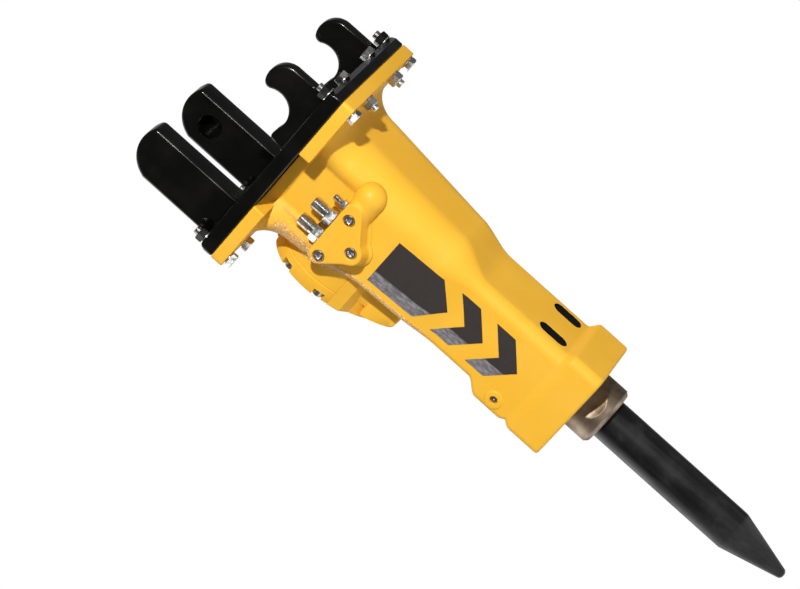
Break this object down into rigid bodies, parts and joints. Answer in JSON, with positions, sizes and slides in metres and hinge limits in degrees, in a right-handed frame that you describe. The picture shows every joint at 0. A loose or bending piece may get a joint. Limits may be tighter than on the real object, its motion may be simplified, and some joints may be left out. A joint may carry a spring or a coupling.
{
  "type": "hydraulic breaker hammer",
  "caption": "Hydraulic breaker hammer: cast body with piston, valve and accumulator, round moil point, hose block and a bolted plate bracket with hooks for a carrier.",
  "frame": {"origin": "centre of the front saddle's axis, midway between the two front hooks", "axes": "+Z along the tool axis, away from the tool's point; +X to the front, the side of the front hooks; +Y along the saddle's axis, away from the hose block"},
  "size_m": [0.483, 0.42, 1.643],
  "materials": {
    "yellow_paint": "glossy paint on casting",
    "black_paint": "semi-gloss paint",
    "tool_steel": "blackened, satin",
    "bush_steel": "turned, satin",
    "machined_steel": "ground",
    "dark_steel": "blackened",
    "zinc": "zinc plated",
    "chrome": "bright plated",
    "rubber": "moulded"
  },
  "bodies": {
    "housing": {"housing": "yellow_paint", "bush_lock_pin": "machined_steel", "upper_bush": "bush_steel", "retainer_bars": "dark_steel", "retainer_lock_pin": "machined_steel", "cylinder_liner": "machined_steel", "piston_seals": "rubber", "liner_seals": "rubber", "valve_housing": "machined_steel", "back_head": "dark_steel", "back_head_seal": "rubber", "back_head_screws": "dark_steel", "accumulator_cover": "yellow_paint", "accumulator_diaphragm": "rubber", "accumulator_screws": "zinc", "gas_valve": "zinc", "gas_valve_cap": "dark_steel", "port_block": "yellow_paint", "port_seals": "rubber", "port_block_screws": "zinc", "pressure_fitting": "chrome", "return_fitting": "chrome", "lube_fitting": "chrome", "gallery_plugs": "machined_steel", "bracket_plate": "black_paint", "front_hook_near": "black_paint", "front_hook_far": "black_paint", "rear_hook_near": "black_paint", "rear_hook_far": "black_paint", "flange_bolts": "zinc", "flange_nuts": "black_paint", "crossed_bolts": "zinc", "crossed_nuts": "zinc", "flange_washers": "zinc"},
    "tool": {"tool": "tool_steel"},
    "piston": {"piston": "machined_steel"},
    "valve": {"valve_sleeve": "machined_steel"},
    "bush": {"lower_bush": "bush_steel", "dust_seal": "rubber"}
  },
  "joints": [
    {"name": "tool_slide", "type": "slide", "parent": "housing", "child": "tool", "axis": [0, 0, 1], "range_m": [0, 0.055]},
    {"name": "piston_stroke", "type": "slide", "parent": "housing", "child": "piston", "axis": [0, 0, 1], "range_m": [0, 0.08]},
    {"name": "valve_shift", "type": "slide", "parent": "housing", "child": "valve", "axis": [0, 0, 1], "range_m": [0, 0.012]},
    {"name": "bush_turn", "type": "hinge", "parent": "housing", "child": "bush", "pos_m": [-0.096, 0, -0.91], "axis": [0, 0, 1], "continuous": true}
  ]
}
